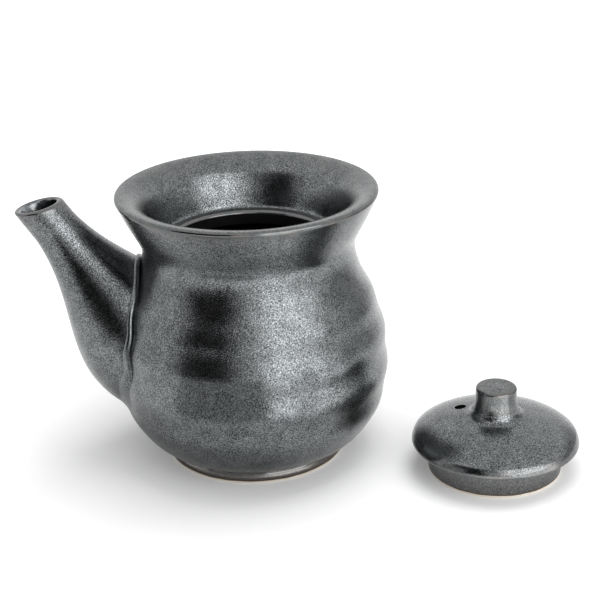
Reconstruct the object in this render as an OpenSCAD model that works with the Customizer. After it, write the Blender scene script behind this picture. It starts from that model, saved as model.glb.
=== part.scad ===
// Lidded pouring pot for sake, in dark glazed stoneware: a thrown body on a foot ring, a spout luted to
// its side, and a lid with a knob that is lifted off and set down beside it.
// Millimetres, +Z up, origin at the centre of the foot, spout towards -X.

/* [Body] */
// Radius of the belly at its widest
belly_r = 48.6; // [44:0.1:53]
// Height of the widest part of the belly
belly_z = 34.5; // [30:0.5:40]
// Radius of the waist under the flared rim
waist_r = 37.6; // [35.5:0.1:40]
// Height of the waist
waist_z = 78; // [74:0.5:82]
// Outer radius of the flared rim
rim_r = 46; // [43:0.1:50]
// Height of the pot over its rim
pot_h = 98.9; // [94:0.1:108]
// Flare of the rim, as sideways run for each millimetre of height
rim_flare = 0.44; // [0.3:0.02:0.55]
// Thickness of the thrown wall
wall = 4; // [3:0.1:5]
// Radius of the lip's outer edge
lip_r = 1.1; // [0.8:0.1:2]
// Radius of the roll from the lip into the funnel
roll_r = 10.5; // [7:0.1:13]
// Thickness of the floor
floor_t = 5; // [3.5:0.1:7]
// Height of the throwing rings over the mean surface
ring_depth = 0.35; // [0:0.05:0.6]
// Distance from one throwing ring to the next
ring_pitch = 13.8; // [10:0.2:18]

/* [Foot ring] */
// Outer radius of the foot ring
foot_r = 32.3; // [29:0.1:35]
// Height of the foot ring
foot_h = 3; // [2:0.1:5]
// Width of the foot ring
foot_w = 5.5; // [4:0.1:8]

/* [Lid seat] */
// Radius of the throat that takes the lid's skirt
throat_r = 27; // [25:0.1:28.5]
// Width of the ledge round the throat
seat_w = 3.6; // [3:0.1:4.4]
// Height of the ledge that carries the lid
seat_z = 81.2; // [79:0.1:83]
// Thickness of the ledge
seat_t = 5; // [4:0.1:6.5]

/* [Spout] */
// Reach of the spout's tip from the pot's axis
spout_reach = 72.9; // [68:0.1:78]
// Height of the tip below the rim
tip_drop = 4.1; // [1.5:0.1:8]
// Slope of the cut across the tip, in degrees
tip_slope = 12; // [4:0.5:18]
// Outer radius of the spout just below its tip
tip_r = 8.1; // [7:0.1:9]
// Greatest outer radius of the spout, at its root
root_r = 23.6; // [21.5:0.1:25]
// Height at which the spout's axis enters the body
root_z = 54.1; // [51:0.1:57]
// Thickness of the spout's wall
spout_wall = 2.2; // [1.8:0.1:3]
// Radius of the port through the body's wall into the spout
port_r = 8; // [6:0.1:10]
// Height of the luting bead over the spout and the body
bead_h = 1.4; // [1:0.1:2]

/* [Lid] */
// Play between the lid's edge and the foot of the funnel
lid_play = 1.1; // [0.5:0.1:1.5]
// Height of the lid's edge, from the skirt to the dome
lid_edge_t = 3.9; // [3:0.1:4.6]
// Rise of the lid from its edge to the knob
dome_h = 9.3; // [8:0.1:12]
// Width of the hollow curve from the dome up to the knob
cove_w = 3.5; // [2.5:0.1:4]
// Height of the hollow curve from the dome up to the knob
cove_h = 2.5; // [1.5:0.1:3.5]
// Radius of the vent hole
vent_r = 1.9; // [1.2:0.1:2.4]
// Play between the lid's skirt and the throat
skirt_play = 3.5; // [1:0.1:5]
// Depth of the skirt below the lid
skirt_depth = 10.3; // [8:0.1:15]
// Thickness of the skirt
skirt_t = 3.5; // [2.5:0.1:4.5]
// Radius of the knob where it meets the lid
knob_root_r = 8; // [7:0.1:9]
// Radius of the knob at its top
knob_r = 7.2; // [6:0.1:8]
// Height of the knob
knob_h = 7.8; // [6:0.1:12]
// Gap between the belly and the lid that lies beside it
lid_gap = 10.6; // [6:0.1:30]
// Direction in which the lid lies from the pot, in degrees
lid_bearing = -15.6; // [-60:0.1:60]

/* [Hidden] */
$fn = 96;
glaze = "#46494d";
glaze_dark = "#3a3d41";
foot_clay = "#8a7c6c";
skirt_clay = "#7d7a76";

// A point at t along a cubic curve from a to d, pulled towards b and c
function cubic(a, b, c, d, t) =
    pow(1 - t, 3) * a + 3 * pow(1 - t, 2) * t * b + 3 * (1 - t) * t * t * c + pow(t, 3) * d;
function stretch(a, b, c, d, steps) = [for (i = [0 : steps]) cubic(a, b, c, d, i / steps)];
function arc(centre, r, from, to, steps) =
    [for (i = [0 : steps])
        let (turn = from + (to - from) * i / steps)
        centre + r * [cos(turn), sin(turn)]];
function rest(points) = [for (i = [1 : len(points) - 1]) points[i]];
function reversed(points) = [for (i = [len(points) - 1 : -1 : 0]) points[i]];

// The lip turns sharply over its outer edge and then rolls gently into the funnel
lip_centre = [rim_r - lip_r, pot_h - lip_r];
roll_centre = [rim_r - lip_r, pot_h - roll_r];
flare_angle = atan(rim_flare);
rim_out = lip_centre + lip_r * [cos(flare_angle), -sin(flare_angle)];
rim_in = roll_centre + roll_r * [-cos(flare_angle), sin(flare_angle)];
lip = concat(arc(lip_centre, lip_r, -flare_angle, 90, 5),
    rest(arc(roll_centre, roll_r, 90, 180 - flare_angle, 5)));

// The outside of the body: a hollow above the foot, then foot to belly, belly to waist, and waist to rim
foot_edge = [foot_r, foot_h];
hollow_w = 0.6;
hollow_h = 1.4;
base_edge = foot_edge + [hollow_w, hollow_h];
belly = [belly_r, belly_z];
waist = [waist_r, waist_z];
hollow_pull = 1.1;
hollow_rise = 145;
base_pull = 1.2;
base_rise = 51;
low_pull = (belly_z - base_edge[1]) * 0.82;
high_pull = (waist_z - belly_z) * 0.6;
waist_pull = (waist_z - belly_z) * 0.28;
neck_pull = (pot_h - waist_z) * 0.23;
rim_pull = (pot_h - waist_z) * 0.68;
function uphill(rise) = [cos(rise), sin(rise)];
smooth_side = concat(
    stretch(foot_edge, foot_edge + hollow_pull * uphill(hollow_rise),
        base_edge - hollow_pull * uphill(base_rise), base_edge, 4),
    rest(stretch(base_edge, base_edge + base_pull * uphill(base_rise), belly - [0, low_pull], belly, 16)),
    rest(stretch(belly, belly + [0, high_pull], waist - [0, waist_pull], waist, 20)),
    rest(stretch(waist, waist + [0, neck_pull], rim_out - rim_pull * [rim_flare, 1], rim_out, 10)));

// The throwing rings fade out towards the foot and the waist
ring_crest_z = belly_z - 1.5;
function ring_fade(z) = z > waist_z ? 0 : sin(180 * (z - foot_h) / (waist_z - foot_h));
function ring(z) = ring_depth * ring_fade(z) * cos(360 * (z - ring_crest_z) / ring_pitch);
side = [for (p = smooth_side) p + [ring(p[1]), 0]];
side_radii = [for (p = side) [p[1], p[0]]];
function side_r(z) = lookup(z, side_radii);

// The inside of the belly lies one wall in from the smooth outside, from the floor to the ledge
floor_z = foot_h + floor_t;
ledge_z = seat_z - seat_t;
function inward(i) =
    let (run = smooth_side[i + 1] - smooth_side[i - 1])
    [-run[1], run[0]] / norm(run);
inside = [for (i = [1 : len(smooth_side) - 2]) smooth_side[i] + wall * inward(i)];
cavity = [for (p = inside) if (p[1] > floor_z + 0.5 && p[1] < ledge_z - 0.5) p];

// The throat, its rounded edge, the ledge and the funnel above it
seat_r = throat_r + seat_w;
seat_edge_r = 1.4;
funnel_start = [seat_r, seat_z];
funnel_rise = 12;
funnel_low_pull = 1.2;
funnel_high_pull = 8;
funnel = stretch(funnel_start, funnel_start + funnel_low_pull * uphill(funnel_rise),
    rim_in - funnel_high_pull * [rim_flare, 1], rim_in, 12);
throat_edge = arc([throat_r + seat_edge_r, seat_z - seat_edge_r], seat_edge_r, 90, 180, 5);
cavity_top = cavity[len(cavity) - 1];
corner_r = 2;
body_section = concat([[0, foot_h]], side, rest(lip), rest(reversed(funnel)), throat_edge,
    [[throat_r, ledge_z], [cavity_top[0], ledge_z]], reversed(cavity),
    [[cavity[0][0] - corner_r, floor_z], [0, floor_z]]);

// The spout turns round one straight axis, from its tip down through the wall to its widest place
tip = [-spout_reach, 0, pot_h - tip_drop];
axis_rise = tip[2] - root_z;
axis_run = spout_reach - side_r(root_z);
axis_length = norm([axis_rise, axis_run]);
axis_angle = atan2(axis_rise, axis_run);
root_depth = 13;
end_run = 23.4;
widest_s = axis_length + root_depth;
draw_in = 1.7;
slender_pull = 28;
swell_pull = 18.9;
end_s = widest_s + end_run;
end_r = root_r / 2;
tip_spare = 6;
spout_side = concat([[tip_r, -tip_spare]],
    stretch([tip_r, 0], [tip_r - draw_in, slender_pull],
        [root_r, widest_s - swell_pull], [root_r, widest_s], 14),
    rest(stretch([root_r, widest_s], [root_r, widest_s + end_run * 0.55],
        [(root_r + end_r) / 2, end_s - end_run * 0.1], [end_r, end_s], 6)));

// The lid takes its radii from the throat and the ledge that it drops into
skirt_r = throat_r - skirt_play;
skirt_in_r = skirt_r - skirt_t;
lid_r = seat_r - lid_play;
lid_edge_r = 0.6;
shoulder_r = 1;
flank_low = 8;
flank_top = 36;
flank_r = (lid_edge_t - 2 * lid_edge_r) / (sin(flank_top) - sin(flank_low));
dome_rise = 138;
crown_rise = 165;
knob_rise = 110;
lid_foot = arc([lid_r - lid_edge_r, skirt_depth + lid_edge_r], lid_edge_r, -90, flank_low, 4);
flank_centre = lid_foot[4] - flank_r * uphill(flank_low);
lid_flank = arc(flank_centre, flank_r, flank_low, flank_top, 4);
shoulder_centre = lid_flank[4] - shoulder_r * uphill(flank_top);
lid_top_edge = arc(shoulder_centre, shoulder_r, flank_top, dome_rise - 90, 2);
lid_edge = concat(lid_foot, rest(lid_flank), rest(lid_top_edge));
lid_shoulder = lid_top_edge[2];
knob_z = skirt_depth + lid_edge_t + dome_h;
knob_foot = [knob_root_r, knob_z];
crown = knob_foot + [cove_w, -cove_h];
dome_chord = norm(crown - lid_shoulder);
dome = stretch(lid_shoulder, lid_shoulder + dome_chord * 0.27 * uphill(dome_rise),
    crown - dome_chord * 0.4 * uphill(crown_rise), crown, 12);
cove = stretch(crown, crown + cove_w * 0.3 * uphill(crown_rise),
    knob_foot - cove_h * 0.25 * uphill(knob_rise), knob_foot, 4);
lid_rim = concat(lid_edge, rest(dome), rest(cove));
under_rise = dome_h * 0.5;
lid_hollow = stretch([0, skirt_depth + under_rise], [skirt_in_r * 0.6, skirt_depth + under_rise],
    [skirt_in_r, skirt_depth + under_rise * 0.5], [skirt_in_r, skirt_depth], 8);
vent_d = (knob_root_r + skirt_in_r) / 2;
vent_bearing = 146.5;
lid_d = belly_r + lid_gap + lid_r;
lid_place = [lid_d * cos(lid_bearing), lid_d * sin(lid_bearing), 0];
knob_edge_r = 1;
knob_side = stretch(knob_foot, knob_foot + [-(knob_root_r - knob_r), knob_h * 0.3],
    [knob_r, knob_z + knob_h * 0.6], [knob_r, knob_z + knob_h - knob_edge_r], 8);
knob_top = arc([knob_r - knob_edge_r, knob_z + knob_h - knob_edge_r], knob_edge_r, 0, 90, 5);

// The outside of the body as one solid, grown sideways
module body_form(grow) {
    rotate_extrude()
        polygon(concat([[0, foot_h]], [for (p = side) p + [grow, 0]], [[0, rim_out[1]]]));
}

// The outside of the spout as one solid, grown away from its axis
module spout_form(grow) {
    translate(tip)
        rotate([0, 90 + axis_angle, 0])
            rotate_extrude()
                polygon(concat([[0, -tip_spare]], [for (p = spout_side) p + [grow, 0]], [[0, end_s]]));
}

// Everything above the sloping cut across the spout's tip
module above_tip() {
    translate(tip)
        rotate([0, -tip_slope, 0])
            translate([-root_r, -root_r, 0])
                cube([2 * root_r, 2 * root_r, root_r]);
}

// Thrown body with its floor, flared rim, lid ledge, and the port into the spout
module body() {
    color(glaze)
        difference() {
            rotate_extrude()
                polygon(body_section);
            translate([-side_r(root_z) - wall, 0, root_z])
                rotate([0, 90, 0])
                    cylinder(r = port_r, h = 4 * wall);
        }
}

// Turned foot ring under the floor, with eased edges
module foot_ring() {
    ease = 0.4;
    inner_r = foot_r - foot_w;
    color(foot_clay)
        rotate_extrude()
            polygon([[inner_r, ease], [inner_r + ease, 0], [foot_r - ease, 0], [foot_r, ease],
                [foot_r, foot_h], [inner_r, foot_h]]);
}

// Hollow tapering spout, cut to the body's curve at its root and across a slope at its tip
module spout() {
    color(glaze)
        difference() {
            spout_form(0);
            spout_form(-spout_wall);
            body_form(0);
            above_tip();
        }
}

// Bead of slip that lutes the spout to the body, all round the joint
module spout_seam() {
    color(glaze_dark)
        difference() {
            intersection() {
                spout_form(bead_h);
                body_form(bead_h);
            }
            spout_form(0);
            body_form(0);
        }
}

// Domed lid disc with the vent hole beside its knob
module lid_cap() {
    color(glaze)
        translate(lid_place)
            difference() {
                rotate_extrude()
                    polygon(concat(lid_hollow, lid_rim, [[0, knob_z]]));
                rotate([0, 0, vent_bearing])
                    translate([vent_d, 0, 0])
                        cylinder(r = vent_r, h = knob_z);
            }
}

// Straight skirt under the lid that drops into the throat
module lid_skirt() {
    color(skirt_clay)
        translate(lid_place)
            difference() {
                cylinder(r = skirt_r, h = skirt_depth);
                translate([0, 0, -1])
                    cylinder(r = skirt_in_r, h = skirt_depth + 2);
            }
}

// Turned knob, waisted a little, with a rounded top edge
module lid_knob() {
    color(glaze_dark)
        translate(lid_place)
            rotate_extrude()
                polygon(concat([[0, knob_z]], knob_side, rest(knob_top), [[0, knob_z + knob_h]]));
}

body();
foot_ring();
spout();
spout_seam();
lid_cap();
lid_skirt();
lid_knob();
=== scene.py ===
import math

import bpy
from mathutils import Matrix, Vector


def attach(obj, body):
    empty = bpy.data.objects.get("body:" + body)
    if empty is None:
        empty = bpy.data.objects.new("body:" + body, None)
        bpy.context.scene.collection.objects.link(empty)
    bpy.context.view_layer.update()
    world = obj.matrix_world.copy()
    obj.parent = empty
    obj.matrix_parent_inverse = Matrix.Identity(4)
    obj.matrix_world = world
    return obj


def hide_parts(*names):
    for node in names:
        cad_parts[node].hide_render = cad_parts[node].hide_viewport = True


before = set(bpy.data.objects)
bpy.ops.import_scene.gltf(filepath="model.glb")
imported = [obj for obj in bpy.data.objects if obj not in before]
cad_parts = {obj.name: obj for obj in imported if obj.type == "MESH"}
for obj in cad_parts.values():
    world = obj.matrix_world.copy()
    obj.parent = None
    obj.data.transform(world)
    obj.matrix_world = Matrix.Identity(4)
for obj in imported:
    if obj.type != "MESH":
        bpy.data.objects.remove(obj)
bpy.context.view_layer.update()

# Body: the belly, waist and flared mouth of a pouring pot, with a ledge inside that carries the lid.
# Stoneware, thrown on a wheel, so the whole wall is one section spun round the pot's axis.
# The port into the spout is cut through the wall once it is leather-hard. Sizes are in millimetres.
mm = 0.001
belly_r = 48.6
belly_z = 34.5
waist_r = 37.6
waist_z = 78
rim_r = 46
pot_h = 98.9
rim_flare = 0.44
wall = 4
lip_r = 1.1
roll_r = 10.5
floor_z = 8
floor_round = 2
corner_gap = 0.5
ring_depth = 0.35
ring_pitch = 13.8
ring_crest_z = 33
foot_r = 32.3
foot_h = 3
foot_bulge_r = 2
foot_bulge_end = 40
hollow_slope = 130
hollow_pull = 1.1
base_out = 0.6
base_rise = 1.4
base_slope = 51
base_pull = 1.2
throat_r = 27
seat_r = 30.6
seat_z = 81.2
seat_edge_r = 1.4
seat_slope = 12
seat_pull = 1.2
funnel_pull = 8
ledge_z = 76.2
port_r = 8
root_z = 54.1


def cubic(a, b, c, d, steps):
    """Points along a cubic curve from a to d, pulled towards b and c."""
    a, b, c, d = Vector(a), Vector(b), Vector(c), Vector(d)
    points = []
    for i in range(steps + 1):
        t = i / steps
        points.append((1 - t) ** 3 * a + 3 * (1 - t) ** 2 * t * b + 3 * (1 - t) * t * t * c + t ** 3 * d)
    return points


def arc(centre, radius, start, end, steps):
    """Points round part of a circle, from one angle to another in degrees."""
    angles = [math.radians(start + (end - start) * i / steps) for i in range(steps + 1)]
    return [Vector(centre) + radius * Vector((math.cos(a), math.sin(a))) for a in angles]


def uphill(degrees):
    """Direction in an outline that rises at an angle, from outwards at 0 to inwards at 180."""
    return Vector((math.cos(math.radians(degrees)), math.sin(math.radians(degrees))))


def turned(name, outline, foot=(0, 0, 0), axis=(0, 0, 1), out=(1, 0, 0), turns=192):
    """A piece as it comes off the wheel: an outline of (radius, height) points, spun round its axis.

    The outline starts from foot, with its radius along out and its height along axis.
    """
    foot, axis, out = Vector(foot), Vector(axis), Vector(out)
    points = [(foot + r * out + h * axis) * mm for r, h in outline]
    bpy.ops.object.select_all(action="DESELECT")
    bpy.ops.mesh.primitive_plane_add(size=mm)
    piece = bpy.context.object
    piece.name = name
    bpy.ops.object.mode_set(mode="EDIT")
    bpy.ops.mesh.select_mode(type="VERT")
    bpy.ops.mesh.select_all(action="SELECT")
    bpy.ops.mesh.merge(type="CENTER")
    bpy.ops.transform.translate(value=points[0])
    for here, there in zip(points, points[1:]):
        bpy.ops.mesh.extrude_vertices_move(TRANSFORM_OT_translate={"value": there - here})
    bpy.ops.mesh.select_all(action="SELECT")
    bpy.ops.mesh.spin(steps=turns, angle=2 * math.pi, center=foot * mm, axis=axis)
    bpy.ops.mesh.select_all(action="SELECT")
    bpy.ops.mesh.remove_doubles(threshold=0.001 * mm)
    bpy.ops.mesh.normals_make_consistent(inside=False)
    bpy.ops.object.mode_set(mode="OBJECT")
    return piece


def pick(piece):
    """Selects one piece alone and makes it active."""
    bpy.ops.object.select_all(action="DESELECT")
    piece.select_set(True)
    bpy.context.view_layer.objects.active = piece


def smoothed(piece, angle=38):
    """Smooth shading that keeps the edges sharper than an angle in degrees."""
    pick(piece)
    bpy.ops.object.shade_smooth_by_angle(angle=math.radians(angle))


def cut(piece, cutter):
    """Takes the cutter's shape out of a piece and throws the cutter away."""
    pick(piece)
    bpy.ops.object.modifier_add(type="BOOLEAN")
    modifier = piece.modifiers[-1]
    modifier.operation = "DIFFERENCE"
    modifier.solver = "EXACT"
    modifier.object = cutter
    bpy.ops.object.modifier_apply(modifier=modifier.name)
    bpy.data.objects.remove(cutter)


flare_angle = math.degrees(math.atan(rim_flare))
flare = Vector((rim_flare, 1))
lip_centre = Vector((rim_r - lip_r, pot_h - lip_r))
roll_centre = Vector((rim_r - lip_r, pot_h - roll_r))
lip = arc(lip_centre, lip_r, -flare_angle, 90, 12)
lip += arc(roll_centre, roll_r, 90, 180 - flare_angle, 18)[1:]
rim_out, rim_in = lip[0], lip[-1]
foot_bulge = arc((foot_r - foot_bulge_r, foot_h), foot_bulge_r, 0, foot_bulge_end, 6)
foot_edge = Vector((foot_bulge[-1].x, foot_h))
base_edge = Vector((foot_r + base_out, foot_h + base_rise))
belly = Vector((belly_r, belly_z))
waist = Vector((waist_r, waist_z))
low_pull = Vector((0, 0.82 * (belly_z - base_edge.y)))
high_pull = Vector((0, 0.6 * (waist_z - belly_z)))
waist_pull = Vector((0, 0.28 * (waist_z - belly_z)))
neck_pull = Vector((0, 0.23 * (pot_h - waist_z)))
rim_pull = 0.68 * (pot_h - waist_z) * flare
smooth_side = cubic(foot_edge, foot_edge + hollow_pull * uphill(hollow_slope),
                    base_edge - hollow_pull * uphill(base_slope), base_edge, 8)
smooth_side += cubic(base_edge, base_edge + base_pull * uphill(base_slope), belly - low_pull, belly, 36)[1:]
smooth_side += cubic(belly, belly + high_pull, waist - waist_pull, waist, 48)[1:]
smooth_side += cubic(waist, waist + neck_pull, rim_out - rim_pull, rim_out, 28)[1:]


def throwing_ring(z):
    """How far the potter's fingers left the wall out or in at a height."""
    if z > waist_z:
        return 0
    fade = math.sin(math.pi * (z - foot_h) / (waist_z - foot_h))
    return ring_depth * fade * math.cos(2 * math.pi * (z - ring_crest_z) / ring_pitch)


side = [p + Vector((throwing_ring(p.y), 0)) for p in smooth_side]
seat = Vector((seat_r, seat_z))
funnel = cubic(rim_in, rim_in - funnel_pull * flare, seat + seat_pull * uphill(seat_slope), seat, 28)
throat_edge = arc((throat_r + seat_edge_r, seat_z - seat_edge_r), seat_edge_r, 90, 180, 8)
cavity = []
for before, here, after in zip(smooth_side, smooth_side[1:], smooth_side[2:]):
    along = (after - before).normalized()
    inner = here + wall * Vector((-along.y, along.x))
    if floor_z + corner_gap < inner.y < ledge_z - corner_gap:
        cavity.insert(0, inner)
under_ledge = [Vector((throat_r, ledge_z)), Vector((cavity[0].x, ledge_z))]
inner_floor = [Vector((cavity[-1].x - floor_round, floor_z)), Vector((0, floor_z))]
outside = [Vector((0, foot_h))] + side + lip[1:]
inside = funnel[1:] + throat_edge + under_ledge + cavity + inner_floor
body = turned("glazed_body", outside + inside)


def side_r(z):
    """Radius of the outside of the body at a height."""
    for low, high in zip(side, side[1:]):
        if low.y <= z <= high.y:
            return low.x + (high.x - low.x) * (z - low.y) / (high.y - low.y)
    return 0


port_start = side_r(root_z) + wall
port_length = 4 * wall
port = [Vector((0, 0)), Vector((port_r, 0)), Vector((port_r, port_length)), Vector((0, port_length))]
cut(body, turned("port", port, foot=(-port_start, 0, root_z), axis=(1, 0, 0), out=(0, 0, 1), turns=48))
smoothed(body)


def colour(code):
    """An sRGB hex colour as the linear colour that shaders take."""
    parts = [int(code[i:i + 2], 16) / 255 for i in (1, 3, 5)]
    return [c / 12.92 if c <= 0.04045 else ((c + 0.055) / 1.055) ** 2.4 for c in parts] + [1]


def fill(material, node, sockets):
    """Fills a node's sockets with the outputs of other nodes or with plain values."""
    for name, value in sockets.items():
        if isinstance(value, bpy.types.NodeSocket):
            material.node_tree.links.new(value, node.inputs[name])
        else:
            node.inputs[name].default_value = value


def add(material, kind, sockets=None, stops=(), **settings):
    """Adds one node with its settings, fills its sockets, and sets the stops of a colour ramp."""
    node = material.node_tree.nodes.new(kind)
    for name, value in settings.items():
        setattr(node, name, value)
    fill(material, node, sockets or {})
    for i, (place, code) in enumerate(stops):
        if i > 1:
            node.color_ramp.elements.new(place)
        node.color_ramp.elements[i].position = place
        node.color_ramp.elements[i].color = colour(code)
    return node


def per_metre(size):
    """Scale of a pattern whose features are a size in millimetres."""
    return 1 / (size * mm)


# Gunmetal lustre glaze: iron and manganese crystals float up in the fire and make a satin metal skin with
# a fine grain of raised specks, black and pale. Where the glaze runs thin over an edge it is smoother
# and browner. The real grain is about 0.2 mm, drawn at 0.42 mm so that it shows.
grain_size = 0.42
cloud_size = 5
grain_relief = 0.075


def lustre_glaze(name, breaks, most):
    """The glaze, with the colour that it breaks to where it is thin and the most of it that shows."""
    glaze = bpy.data.materials.new(name)
    glaze.use_nodes = True
    place = add(glaze, "ShaderNodeTexCoord").outputs["Object"]
    thin = add(glaze, "ShaderNodeAttribute", attribute_name="thin").outputs["Fac"]
    grain = add(glaze, "ShaderNodeTexNoise",
                {"Vector": place, "Scale": per_metre(grain_size), "Detail": 2.0, "Roughness": 0.6})
    cloud = add(glaze, "ShaderNodeTexNoise",
                {"Vector": place, "Scale": per_metre(cloud_size), "Detail": 3.0, "Roughness": 0.6})
    evenness = add(glaze, "ShaderNodeMath", {0: thin, 1: 0.85}, operation="MULTIPLY")
    specks = add(glaze, "ShaderNodeMix", {0: evenness.outputs["Value"], 2: grain.outputs["Fac"], 3: 0.5})
    clouded = add(glaze, "ShaderNodeMath",
                  {0: cloud.outputs["Fac"], 1: 0.22, 2: specks.outputs[0]}, operation="MULTIPLY_ADD")
    skin = add(glaze, "ShaderNodeValToRGB", {"Fac": clouded.outputs["Value"]},
               [(0.42, "#161718"), (0.61, "#6b6e6f"), (0.84, "#9fa2a4")])
    patches = add(glaze, "ShaderNodeMapRange",
                  {"Value": cloud.outputs["Fac"], "From Min": 0.4, "From Max": 0.6, "To Max": most})
    broken = add(glaze, "ShaderNodeMath", {0: thin, 1: patches.outputs["Result"]}, operation="MULTIPLY")
    surface = add(glaze, "ShaderNodeMix",
                  {0: broken.outputs["Value"], 6: skin.outputs["Color"], 7: colour(breaks)},
                  data_type="RGBA")
    satin = add(glaze, "ShaderNodeMapRange",
                {"Value": cloud.outputs["Fac"], "From Min": 0.3, "From Max": 0.7,
                 "To Min": 0.1, "To Max": 0.17})
    relief = add(glaze, "ShaderNodeBump",
                 {"Height": specks.outputs[0], "Strength": 1.0, "Distance": grain_relief * mm})
    fill(glaze, glaze.node_tree.nodes["Principled BSDF"],
         {"Base Color": surface.outputs[2], "Metallic": 0.97,
          "Roughness": satin.outputs["Result"], "Normal": relief.outputs["Normal"]})
    return glaze


def mark_thin(piece, share):
    """Notes at each vertex how thin the glaze is, from 0 to 1, by a rule of its place in millimetres."""
    mark = piece.data.attributes.new("thin", "FLOAT", "POINT")
    for vertex, value in zip(piece.data.vertices, mark.data):
        value.value = min(1, max(0, share(vertex.co / mm)))


roll_thin = 0.35
throat_reach = 2.5 * seat_edge_r
throat_fade = 1.5 * seat_edge_r
hollow_reach = 1.5


def body_thin(p):
    """Thin over the lip and a little on the roll, on the throat's edge and in the hollow above the foot."""
    r = math.hypot(p.x, p.y)
    from_throat = abs(r - throat_r)
    if p.z > rim_in.y:
        return max((r - lip_centre.x) / lip_r, roll_thin * (p.z - rim_in.y) / (pot_h - rim_in.y))
    if from_throat < throat_reach:
        return 1.2 - from_throat / throat_fade
    return hollow_reach - (p.z - foot_h)


gunmetal = lustre_glaze("gunmetal_lustre_glaze", "#6b625b", 0.45)
mark_thin(body, body_thin)
body.data.materials.append(gunmetal)

# Painted shade inside the belly: a matt, nearly black colour on the walls below the throat's edge,
# standing in for the shade of the pot's dark interior.
interior_shade = bpy.data.materials.new("painted_shade_inside_belly")
interior_shade.use_nodes = True
shade_place = add(interior_shade, "ShaderNodeTexCoord").outputs["Object"]
shade_mottle = add(interior_shade, "ShaderNodeTexNoise", {"Vector": shade_place, "Scale": per_metre(6), "Detail": 3.0})
painted_shade_tone = add(interior_shade, "ShaderNodeValToRGB", {"Fac": shade_mottle.outputs["Fac"]}, [(0.3, "#060606"), (0.7, "#121110")])
fill(interior_shade, interior_shade.node_tree.nodes["Principled BSDF"],
     {"Base Color": painted_shade_tone.outputs["Color"], "Roughness": 0.75, "Specular IOR Level": 0.15})
body.data.materials.append(interior_shade)
# The faces inside, below the throat's edge, take the painted shade.
for face in body.data.polygons:
    spot = face.center / mm
    within = math.hypot(spot.x, spot.y) < side_r(spot.z) - wall / 2
    if within and floor_z - 0.1 < spot.z < seat_z - seat_edge_r:
        face.material_index = 1
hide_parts("body")
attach(body, "pot")

# Foot ring: the low ring that the pot stands on, trimmed under the floor.
# Stoneware with a thin wash of the glaze, wiped off its bottom edge so that it does not stick in the kiln.
foot_w = 5.5
foot_in_r = foot_r - foot_w
foot_ease = 0.4
foot_outline = arc((foot_in_r + foot_ease, foot_ease), foot_ease, 180, 270, 6)
foot_outline += arc((foot_r - foot_ease, foot_ease), foot_ease, 270, 360, 6)
foot_outline += [p - Vector((0, foot_bulge[-1].y - foot_h)) for p in foot_bulge]
foot_outline += [Vector((foot_in_r, foot_h)), foot_outline[0]]
foot_ring = turned("foot_ring_clay", foot_outline)
smoothed(foot_ring)


# Thin glaze over stoneware clay: the metal grain shows dull, a brown line follows, then bare cream clay
# at the bottom edge. The grain is drawn at the same 0.42 mm.
def wiped_glaze(name, bare_h, line_h, dark, pale):
    """A duller glaze over a bare band, with the heights of the band and of the brown line above."""
    bare_top = 1.15 * bare_h
    line_low = 1.4 * bare_h
    line_top = line_low + line_h
    glaze = bpy.data.materials.new(name)
    glaze.use_nodes = True
    place = add(glaze, "ShaderNodeTexCoord").outputs["Object"]
    height = add(glaze, "ShaderNodeSeparateXYZ", {"Vector": place}).outputs["Z"]
    grain = add(glaze, "ShaderNodeTexNoise",
                {"Vector": place, "Scale": per_metre(grain_size), "Detail": 2.0, "Roughness": 0.6})
    drift = add(glaze, "ShaderNodeTexNoise",
                {"Vector": place, "Scale": per_metre(cloud_size), "Detail": 2.0})
    wander = add(glaze, "ShaderNodeMath",
                 {0: drift.outputs["Fac"], 1: 0.5 * bare_h * mm, 2: height}, operation="MULTIPLY_ADD")
    covered = add(glaze, "ShaderNodeMapRange",
                  {"Value": wander.outputs["Value"], "From Min": bare_top * mm, "From Max": line_low * mm})
    cleared = add(glaze, "ShaderNodeMapRange",
                  {"Value": wander.outputs["Value"], "From Min": line_low * mm, "From Max": line_top * mm})
    clay = add(glaze, "ShaderNodeValToRGB", {"Fac": grain.outputs["Fac"]},
               [(0.3, "#cbbfae"), (0.7, "#eae2d5")])
    skin = add(glaze, "ShaderNodeValToRGB", {"Fac": grain.outputs["Fac"]}, [(0.25, dark), (0.75, pale)])
    lined = add(glaze, "ShaderNodeMix",
                {0: cleared.outputs["Result"], 6: colour("#5a4e46"), 7: skin.outputs["Color"]},
                data_type="RGBA")
    surface = add(glaze, "ShaderNodeMix",
                  {0: covered.outputs["Result"], 6: clay.outputs["Color"], 7: lined.outputs[2]},
                  data_type="RGBA")
    metal = add(glaze, "ShaderNodeMath", {0: covered.outputs["Result"], 1: 0.85}, operation="MULTIPLY")
    satin = add(glaze, "ShaderNodeMapRange",
                {"Value": covered.outputs["Result"], "To Min": 0.8, "To Max": 0.32})
    relief = add(glaze, "ShaderNodeBump",
                 {"Height": grain.outputs["Fac"], "Strength": 1.0, "Distance": 0.03 * mm})
    fill(glaze, glaze.node_tree.nodes["Principled BSDF"],
         {"Base Color": surface.outputs[2], "Metallic": metal.outputs["Value"],
          "Roughness": satin.outputs["Result"], "Normal": relief.outputs["Normal"]})
    return glaze


foot_ring.data.materials.append(wiped_glaze("glaze_wash_over_stoneware", 0.75, 1.4, "#565452", "#92908d"))
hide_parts("foot_ring")
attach(foot_ring, "pot")

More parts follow.
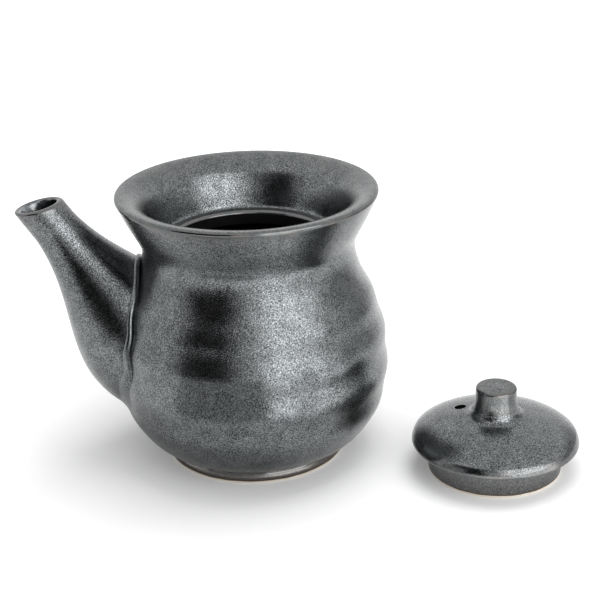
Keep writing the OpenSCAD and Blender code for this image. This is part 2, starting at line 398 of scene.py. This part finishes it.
# Spout: a hollow tapering tube of the same glazed stoneware, swelling into the belly.
# It is thrown apart, cut to the belly's curve at its root and sliced off at a slant across its tip.
tip = Vector((-72.9, 0, 94.8))
tip_slope = math.radians(12)
tip_r = 8.1
tip_pull = 28
root_r = 23.6
root_pull = 18.9
root_depth = 13
spout_wall = 2.2
tip_round = 0.95
tip_spare = 6
straight_end = 9
end_run = 23.4
draw_in = 1.7
spout_rise = tip.z - root_z
spout_run = -tip.x - side_r(root_z)
spout_angle = math.atan2(spout_rise, spout_run)
spout_axis = Vector((math.cos(spout_angle), 0, -math.sin(spout_angle)))
spout_out = Vector((math.sin(spout_angle), 0, math.cos(spout_angle)))
widest_s = math.hypot(spout_rise, spout_run) + root_depth
end_s = widest_s + end_run
end_r = root_r / 2
swell = cubic((tip_r, 0), (tip_r - draw_in, tip_pull),
              (root_r, widest_s - root_pull), (root_r, widest_s), 60)
closing = cubic((root_r, widest_s), (root_r, widest_s + 0.55 * end_run),
                (0.75 * root_r, end_s - 0.1 * end_run), (end_r, end_s), 20)
spout_side = [Vector((tip_r, -tip_spare))] + [p for p in swell if p.y > straight_end] + closing[1:]
spout_inside = [Vector((p.x - spout_wall, p.y)) for p in reversed(spout_side)]
spout = turned("glazed_spout", spout_side + spout_inside, foot=tip, axis=spout_axis, out=spout_out)


def off_axis(p):
    """How far along the spout's axis a point lies from the tip, and how far from the axis."""
    s = (p - tip).dot(spout_axis)
    return s, (p - tip - s * spout_axis).length


tip_up = Vector((-math.sin(tip_slope), 0, math.cos(tip_slope)))
bpy.ops.object.mode_set(mode="EDIT")
bpy.ops.mesh.select_all(action="SELECT")
bpy.ops.mesh.bisect(plane_co=tip * mm, plane_no=tip_up, clear_outer=True)
bpy.ops.mesh.select_all(action="DESELECT")
bpy.ops.mesh.select_mode(type="EDGE")
bpy.ops.mesh.select_non_manifold()
bpy.ops.mesh.bridge_edge_loops()
bpy.ops.mesh.select_all(action="DESELECT")
bpy.ops.object.mode_set(mode="OBJECT")
for edge in spout.data.edges:
    ends = [spout.data.vertices[i].co / mm for i in edge.vertices]
    on_cut = all(abs((end - tip).dot(tip_up)) < 0.01 for end in ends)
    runs_round = abs(off_axis(ends[0])[1] - off_axis(ends[1])[1]) < 0.4
    edge.select = on_cut and runs_round
bpy.ops.object.mode_set(mode="EDIT")
bpy.ops.mesh.bevel(offset=tip_round * mm, segments=6, clamp_overlap=False)
bpy.ops.mesh.select_all(action="SELECT")
bpy.ops.mesh.normals_make_consistent(inside=False)
bpy.ops.object.mode_set(mode="OBJECT")
body_form = turned("body_form", [Vector((0, foot_h))] + side + [Vector((0, rim_out.y))])
cut(spout, body_form)
smoothed(spout)

# Inside the tip the glaze is drawn paler down to this depth: a painted reflection of the lit wall inside.
painted_reflection_depth = 14
bore_r = tip_r - spout_wall + 0.4
tip_edge_h = 1.5


def spout_thin_and_sheen(p):
    """Thin over the tip's edge, and on the wall inside it, where the paler glaze is a painted reflection.
    """
    s, from_axis = off_axis(p)
    if from_axis < bore_r:
        return 1 - s / painted_reflection_depth
    return 1 + (p - tip).dot(tip_up) / tip_edge_h


mark_thin(spout, spout_thin_and_sheen)
spout.data.materials.append(gunmetal)
# The paler glaze inside the tip is a painted reflection, not a glaze of its own.
spout.data.materials.append(lustre_glaze("lustre_with_painted_reflection_in_spout", "#94989b", 1.2))
for face in spout.data.polygons:
    face_s, face_r = off_axis(face.center / mm)
    if face_s < painted_reflection_depth and face_r < bore_r:
        face.material_index = 1
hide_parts("spout")
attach(spout, "pot")

# Spout seam: the bead of slip that lutes the spout to the belly, smoothed with a wet finger and left proud.
# It dies away under the spout, and the glaze runs thin and pale over its ridge.
bead_r = 1.2
bead_shift = 1.4
bead_sweep = 105
fillet_reach = 4.5
fillet_pull = 2 / 3
seam_sink = 0.9
edge_sink = 0.12
ridge_thin = 0.6
ridge_full = math.radians(70)
ridge_gone = math.radians(150)
stations = 240
top_points = 21
ring_points = top_points + 3
clear_s = 12


def spout_r(s):
    """Outer radius of the spout at a distance along its axis."""
    for near, far in zip(spout_side, spout_side[1:]):
        if near.y <= s <= far.y:
            return near.x + (far.x - near.x) * (s - near.y) / (far.y - near.y)
    return 0


def spout_point(s, turn):
    """A point on the outside of the spout, and its outward normal."""
    radial = math.cos(turn) * spout_out + math.sin(turn) * Vector((0, 1, 0))
    slope = (spout_r(s + 0.2) - spout_r(s - 0.2)) / 0.4
    return tip + s * spout_axis + spout_r(s) * radial, (radial - slope * spout_axis).normalized()


def joint_point(turn):
    """Where the spout's outside meets the body's, and the outward normals of both there."""
    near, far = clear_s, end_s - 1
    while far - near > 0.002:
        middle = (near + far) / 2
        point = spout_point(middle, turn)[0]
        if math.hypot(point.x, point.y) > side_r(point.z):
            near = middle
        else:
            far = middle
    point, spout_normal = spout_point(near, turn)
    slope = (side_r(point.z + 0.3) - side_r(point.z - 0.3)) / 0.6
    outward = Vector((point.x, point.y, 0)).normalized()
    return point, (outward - Vector((0, 0, slope))).normalized(), spout_normal


def onto_body(point):
    """The point moved level onto the outside of the body."""
    share = side_r(point.z) / math.hypot(point.x, point.y)
    return Vector((point.x * share, point.y * share, point.z))


def onto_spout(point):
    """The point moved square to the spout's axis onto its outside."""
    s = (point - tip).dot(spout_axis)
    from_axis = point - tip - s * spout_axis
    return tip + s * spout_axis + spout_r(s) * from_axis.normalized()


def facing(direction, guide):
    """The direction, turned round if it points away from the guide."""
    return direction if direction.dot(guide) >= 0 else -direction


joints = [joint_point(2 * math.pi * i / stations) for i in range(stations)]
ridge = arc((0, 0), bead_r, -bead_sweep, bead_sweep, top_points - 1)
bpy.ops.object.select_all(action="DESELECT")
bpy.ops.mesh.primitive_torus_add(major_segments=stations, minor_segments=ring_points)
spout_seam = bpy.context.object
spout_seam.name = "slip_seam"
seam_thin = []
for i, (point, body_normal, spout_normal) in enumerate(joints):
    along = (joints[(i + 1) % stations][0] - joints[i - 1][0]).normalized()
    down_body = facing(body_normal.cross(along), spout_normal)
    up_spout = facing(spout_normal.cross(along), body_normal)
    proud = (body_normal + spout_normal).normalized()
    across = facing(along.cross(proud).normalized(), up_spout)
    turn = min(i, stations - i) * 2 * math.pi / stations
    fade = min(1, max(0, (ridge_gone - turn) / (ridge_gone - ridge_full)))
    fade = fade * fade * (3 - 2 * fade)
    bead_middle = point + bead_shift * up_spout
    foot_point = onto_body(point + fillet_reach * down_body)
    head_point = onto_spout(point + fillet_reach * up_spout)
    fillet = cubic(foot_point, foot_point.lerp(point, fillet_pull),
                   head_point.lerp(point, fillet_pull), head_point, top_points - 1)
    ring = spout_seam.data.vertices[i * ring_points:(i + 1) * ring_points]
    for k, (hollow, bend) in enumerate(zip(fillet, ridge)):
        from_middle = abs(2 * k / (top_points - 1) - 1)
        hollow -= edge_sink * from_middle ** 4 * proud
        bead = bead_middle + bend.x * proud + bend.y * across
        ring[k].co = hollow.lerp(bead, fade) * mm
        seam_thin.append(ridge_thin * fade * (1 - from_middle))
    head_point = head_point.lerp(bead_middle, fade)
    foot_point = foot_point.lerp(point, fade)
    ring[top_points].co = (head_point - seam_sink * spout_normal) * mm
    ring[top_points + 1].co = (point - seam_sink * proud) * mm
    ring[top_points + 2].co = (foot_point - seam_sink * body_normal) * mm
    seam_thin += [0, 0, 0]
spout_seam.matrix_world = Matrix.Identity(4)
bpy.ops.object.mode_set(mode="EDIT")
bpy.ops.mesh.select_all(action="SELECT")
bpy.ops.mesh.normals_make_consistent(inside=False)
bpy.ops.object.mode_set(mode="OBJECT")
smoothed(spout_seam)
seam_mark = spout_seam.data.attributes.new("thin", "FLOAT", "POINT")
seam_mark.data.foreach_set("value", seam_thin)
spout_seam.data.materials.append(lustre_glaze("smooth_lustre_on_seam", "#7b7f82", 0.7))
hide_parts("spout_seam")
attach(spout_seam, "pot")

# Lid cap: the domed disc of the lid, with a small vent hole beside the knob.
# Stoneware in the same gunmetal glaze, turned on the wheel and pierced while it is soft.
skirt_depth = 10.3
skirt_r = 23.5
skirt_in_r = 20
lid_r = 29.5
lid_edge_t = 3.9
lid_edge_r = 0.6
shoulder_r = 1
flank_low = 8
flank_top = 36
dome_h = 9.3
dome_slope = 138
crown_slope = 170
cove_w = 3.5
cove_h = 3.3
cove_slope = 103
knob_root_r = 8
lid_gap = 10.6
lid_d = belly_r + lid_gap + lid_r
lid_angle = math.radians(-15.6)
lid_place = Vector((lid_d * math.cos(lid_angle), lid_d * math.sin(lid_angle), 0))
vent_r = 1.9
vent_flare = 0.25
vent_flare_h = 1.2
vent_d = 14
vent_angle = math.radians(146.5)
knob_z = skirt_depth + lid_edge_t + dome_h
knob_foot = Vector((knob_root_r, knob_z))
crown = knob_foot + Vector((cove_w, -cove_h))
flank_r = (lid_edge_t - 2 * lid_edge_r) / (uphill(flank_top).y - uphill(flank_low).y)
lid_edge = arc((lid_r - lid_edge_r, skirt_depth + lid_edge_r), lid_edge_r, -90, flank_low, 10)
lid_edge += arc(lid_edge[-1] - flank_r * uphill(flank_low), flank_r, flank_low, flank_top, 10)[1:]
shoulder_centre = lid_edge[-1] - shoulder_r * uphill(flank_top)
lid_edge += arc(shoulder_centre, shoulder_r, flank_top, dome_slope - 90, 4)[1:]
shoulder = lid_edge[-1]
dome_run = (crown - shoulder).length
dome = cubic(shoulder, shoulder + 0.27 * dome_run * uphill(dome_slope),
             crown - 0.4 * dome_run * uphill(crown_slope), crown, 32)
cove = cubic(crown, crown + 0.6 * cove_w * uphill(crown_slope),
             knob_foot - 0.6 * cove_h * uphill(cove_slope), knob_foot, 16)
under_z = skirt_depth + 0.5 * dome_h
lid_hollow = cubic((0, under_z), (0.6 * skirt_in_r, under_z),
                   (skirt_in_r, skirt_depth + 0.25 * dome_h), (skirt_in_r, skirt_depth), 20)
lid_outline = lid_hollow + lid_edge + dome[1:] + cove[1:] + [Vector((0, knob_z))]
lid_cap = turned("lid_cap_glazed", lid_outline, foot=lid_place)
vent_place = lid_place + vent_d * Vector((math.cos(vent_angle), math.sin(vent_angle), 0))
vent_mouth_r = vent_r + vent_flare
vent_top = 2 * knob_z
vent = [Vector((0, 0)), Vector((vent_r, 0)), Vector((vent_r, crown.y - vent_flare_h)),
        Vector((vent_mouth_r, crown.y)), Vector((vent_mouth_r, vent_top)), Vector((0, vent_top))]
cut(lid_cap, turned("vent", vent, foot=vent_place, turns=48))
smoothed(lid_cap)


def lid_thin(p):
    """Thin over the lid's outer edge, and full 1.6 mm in from it."""
    return 0.8 - (lid_r - (p - lid_place).xy.length) / 2


mark_thin(lid_cap, lid_thin)
lid_cap.data.materials.append(gunmetal)
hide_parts("lid_cap")
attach(lid_cap, "lid")

# Lid skirt: the straight ring under the lid that drops into the throat and keeps it from sliding off.
# Stoneware with a thinner grey glaze, wiped off the bottom edge that it stands on in the kiln.
skirt_ease = 0.5
skirt_outline = arc((skirt_in_r + skirt_ease, skirt_ease), skirt_ease, 180, 270, 6)
skirt_outline += arc((skirt_r - skirt_ease, skirt_ease), skirt_ease, 270, 360, 6)
skirt_outline += [Vector((skirt_r, skirt_depth)), Vector((skirt_in_r, skirt_depth)), skirt_outline[0]]
lid_skirt = turned("lid_skirt_glazed", skirt_outline, foot=lid_place)
smoothed(lid_skirt)
thin_grey = wiped_glaze("thin_grey_glaze_over_stoneware", 0.8, 0.8, "#38383a", "#8e8f8e")
lid_skirt.data.materials.append(thin_grey)
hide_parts("lid_skirt")
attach(lid_skirt, "lid")

# Lid knob: the turned knob that the lid is lifted by, waisted a little, with a rounded flat top.
# Stoneware in the gunmetal glaze, luted to the dome.
knob_r = 7.2
knob_h = 7.8
knob_edge_r = 1
top_ring_r = 2
knob_top = knob_z + knob_h
knob_side = cubic(knob_foot, knob_foot + Vector((knob_r - knob_root_r, 0.3 * knob_h)),
                  (knob_r, knob_z + 0.6 * knob_h), (knob_r, knob_top - knob_edge_r), 16)
knob_edge = arc((knob_r - knob_edge_r, knob_top - knob_edge_r), knob_edge_r, 0, 90, 10)
knob_outline = [Vector((0, knob_z))] + knob_side + knob_edge[1:]
knob_outline += [Vector((top_ring_r, knob_top)), Vector((0, knob_top))]
lid_knob = turned("lid_knob_glazed", knob_outline, foot=lid_place)
smoothed(lid_knob)
knob_side_thin = 0.5
knob_edge_thin = 1.3


def knob_thin(p):
    """Thin over the knob's top edge, and thinner than the dome all over its side."""
    from_edge = math.hypot((p - lid_place).xy.length - knob_r, p.z - knob_top)
    if p.z < knob_top - 0.01:
        return max(knob_side_thin, knob_edge_thin - from_edge / (1.5 * knob_edge_r))
    return knob_edge_thin - from_edge / 2


mark_thin(lid_knob, knob_thin)
lid_knob.data.materials.append(gunmetal)
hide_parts("lid_knob")
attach(lid_knob, "lid")

# Table: a plain white paper sweep that the pot stands on, with no edge in view.
# It is lit as paper is and glows a little to the camera and to reflections, so it is white further off.
# The glow is weaker close to the pot and the lid: a painted shade that keeps and widens their shadows.
bpy.ops.object.select_all(action="DESELECT")
bpy.ops.mesh.primitive_plane_add(size=8)
table = bpy.context.object
table.name = "table"


def toward(bearing):
    """Level direction at a bearing in degrees, which runs from the front round to the right."""
    return Vector((math.sin(math.radians(bearing)), -math.cos(math.radians(bearing)), 0))


paper = bpy.data.materials.new("white_paper_sweep")
paper.use_nodes = True
rays = add(paper, "ShaderNodeLightPath")
mirrored = rays.outputs["Is Glossy Ray"]
table_place = add(paper, "ShaderNodeTexCoord").outputs["Object"]
from_pot = add(paper, "ShaderNodeVectorMath", {0: table_place}, operation="LENGTH").outputs["Value"]
# The painted shade round the lid is centred 8 mm to its right.
lid_shade = (lid_place + Vector((8, 0, 0))) * mm
from_lid = add(paper, "ShaderNodeVectorMath", {0: table_place, 1: lid_shade}, operation="DISTANCE")
past_lid = add(paper, "ShaderNodeMath", {0: from_lid.outputs["Value"], 1: 10 * mm}, operation="ADD")
clear = add(paper, "ShaderNodeMath", {0: from_pot, 1: past_lid.outputs["Value"]}, operation="MINIMUM")
glow = add(paper, "ShaderNodeMapRange",
           {"Value": clear.outputs["Value"], "From Min": 40 * mm, "From Max": 190 * mm,
            "To Min": 0.1, "To Max": 0.62})
by_eye = add(paper, "ShaderNodeMath",
             {0: mirrored, 1: 0.5, 2: rays.outputs["Is Camera Ray"]}, operation="MULTIPLY_ADD")
by_any = add(paper, "ShaderNodeMath",
             {0: by_eye.outputs["Value"], 1: rays.outputs["Is Transmission Ray"]}, operation="MAXIMUM")
shine = add(paper, "ShaderNodeMath",
            {0: by_any.outputs["Value"], 1: glow.outputs["Result"]}, operation="MULTIPLY")

# A painted pool of light on the paper at the front right, between two bearings, for the soft box's light.
# It shows only in reflections.
pool_way = 36.87
pool_left = 8
pool_right = 38
to_key = add(paper, "ShaderNodeVectorMath", {0: table_place, 1: toward(pool_way)}, operation="DOT_PRODUCT")
pool = add(paper, "ShaderNodeMapRange",
           {"Value": to_key.outputs["Value"], "From Min": 100 * mm, "From Max": 130 * mm, "To Max": 1.15})
past_left = add(paper, "ShaderNodeVectorMath",
                {0: table_place, 1: toward(pool_left + 90)}, operation="DOT_PRODUCT")
left_end = add(paper, "ShaderNodeMapRange", {"Value": past_left.outputs["Value"], "From Max": 15 * mm})
short_of_right = add(paper, "ShaderNodeVectorMath",
                     {0: table_place, 1: toward(pool_right - 90)}, operation="DOT_PRODUCT")
right_end = add(paper, "ShaderNodeMapRange",
                {"Value": short_of_right.outputs["Value"], "From Min": -20 * mm, "From Max": 20 * mm})
between = add(paper, "ShaderNodeMath",
              {0: left_end.outputs["Result"], 1: right_end.outputs["Result"]}, operation="MULTIPLY")
painted_light_pool = add(paper, "ShaderNodeMath",
               {0: pool.outputs["Result"], 1: between.outputs["Value"]}, operation="MULTIPLY")
shown = add(paper, "ShaderNodeMath",
            {0: mirrored, 1: painted_light_pool.outputs["Value"], 2: shine.outputs["Value"]},
            operation="MULTIPLY_ADD")

# Close to the pot, left of the pool, the belly mirrors the paper in its own shade.
# The paper is drawn a little darker there, in reflections only.
beside = add(paper, "ShaderNodeMapRange",
             {"Value": from_pot, "From Min": 60 * mm, "From Max": 80 * mm, "To Min": 1.0, "To Max": 0.0})
to_left = add(paper, "ShaderNodeMapRange",
              {"Value": past_left.outputs["Value"], "From Max": 15 * mm, "To Min": 1.0, "To Max": 0.0})
shaded = add(paper, "ShaderNodeMath",
             {0: beside.outputs["Result"], 1: to_left.outputs["Result"]}, operation="MULTIPLY")
dimmed = add(paper, "ShaderNodeMath", {0: shaded.outputs["Value"], 1: mirrored}, operation="MULTIPLY")
white = add(paper, "ShaderNodeMix",
            {0: dimmed.outputs["Value"], 6: colour("#f2f2f2"), 7: colour("#c2c2c2")}, data_type="RGBA")
fill(paper, paper.node_tree.nodes["Principled BSDF"],
     {"Base Color": white.outputs[2], "Roughness": 0.9, "Specular IOR Level": 0,
      "Emission Color": colour("#ffffff"), "Emission Strength": shown.outputs["Value"]})
table.data.materials.append(paper)

# Studio light: a large soft box at the front right, a high lamp that draws the shadow, and a low strip
# by the lid. A dark card, a grey card and a low board stand out of view for the glaze to mirror.
# The room is white to the camera and in reflections, and softer as light.
room = bpy.data.worlds.new("white_room")
bpy.context.scene.world = room
room.use_nodes = True
room_rays = add(room, "ShaderNodeLightPath")
room_by_eye = add(room, "ShaderNodeMath",
                  {0: room_rays.outputs["Is Camera Ray"], 1: room_rays.outputs["Is Glossy Ray"]},
                  operation="MAXIMUM")
room_by_any = add(room, "ShaderNodeMath",
                  {0: room_by_eye.outputs["Value"], 1: room_rays.outputs["Is Transmission Ray"]},
                  operation="MAXIMUM")
room_level = add(room, "ShaderNodeMapRange",
                 {"Value": room_by_any.outputs["Value"], "To Min": 0.6, "To Max": 1.0})
fill(room, room.node_tree.nodes["Background"],
     {"Color": colour("#ffffff"), "Strength": room_level.outputs["Result"]})


def softbox(name, bearing, distance, height, width, tall, radiance, target_h):
    """A soft box of an even brightness, in metres, that faces a height over the middle of the pot."""
    light = bpy.data.lights.new(name, "AREA")
    light.shape = "RECTANGLE"
    light.size = width
    light.size_y = tall
    light.energy = radiance * math.pi * width * tall
    box = bpy.data.objects.new(name, light)
    bpy.context.scene.collection.objects.link(box)
    box.location = distance * toward(bearing) + Vector((0, 0, height))
    box.rotation_euler = (Vector((0, 0, target_h)) - box.location).to_track_quat("-Z", "Y").to_euler()
    box.visible_camera = False
    return box


softbox("key_softbox", bearing=38, distance=0.55, height=0.31,
        width=0.54, tall=0.5, radiance=2.0, target_h=0.31)
shadow_lamp = softbox("shadow_lamp", bearing=130, distance=0.2, height=0.8,
                      width=0.6, tall=0.6, radiance=3.0, target_h=0.0)
shadow_lamp.visible_glossy = False
softbox("lid_strip", bearing=57, distance=0.138, height=0.012,
        width=0.055, tall=0.024, radiance=1.3, target_h=0.012)


def card(name, bearing, distance, width, tall, code):
    """A card, in metres, that stands facing the pot and shows only in reflections."""
    bpy.ops.object.select_all(action="DESELECT")
    bpy.ops.mesh.primitive_plane_add(size=1)
    made = bpy.context.object
    made.name = name
    made.scale = (width, tall, 1)
    made.rotation_euler = (math.pi / 2, 0, math.radians(bearing))
    made.location = distance * toward(bearing) + Vector((0, 0, tall / 2))
    made.visible_camera = False
    made.visible_diffuse = False
    made.visible_shadow = False
    felt = bpy.data.materials.new(name)
    felt.use_nodes = True
    fill(felt, felt.node_tree.nodes["Principled BSDF"],
         {"Base Color": colour(code), "Roughness": 0.9, "Specular IOR Level": 0})
    made.data.materials.append(felt)


card("black_card", bearing=-37, distance=0.62, width=0.6, tall=0.6, code="#2a2a2a")
card("grey_card", bearing=108, distance=0.35, width=0.28, tall=0.14, code="#c8c8c8")
card("low_board", bearing=-19, distance=0.088, width=0.1, tall=0.044, code="#ececec")

# Camera: a long lens a little above the pot, as in the photo, level but for a slight roll.
look_down = math.radians(22.62)
roll = math.radians(-1.64)
camera_data = bpy.data.cameras.new("camera")
camera_data.lens = 87.06
camera_data.sensor_width = 36
camera = bpy.data.objects.new("camera", camera_data)
bpy.context.scene.collection.objects.link(camera)
camera.rotation_mode = "ZYX"
camera.rotation_euler = (math.pi / 2 - look_down, 0, roll)
camera.location = (0.01755, -0.4805, 0.2564)
bpy.context.scene.camera = camera
bpy.context.scene.view_settings.view_transform = "Standard"
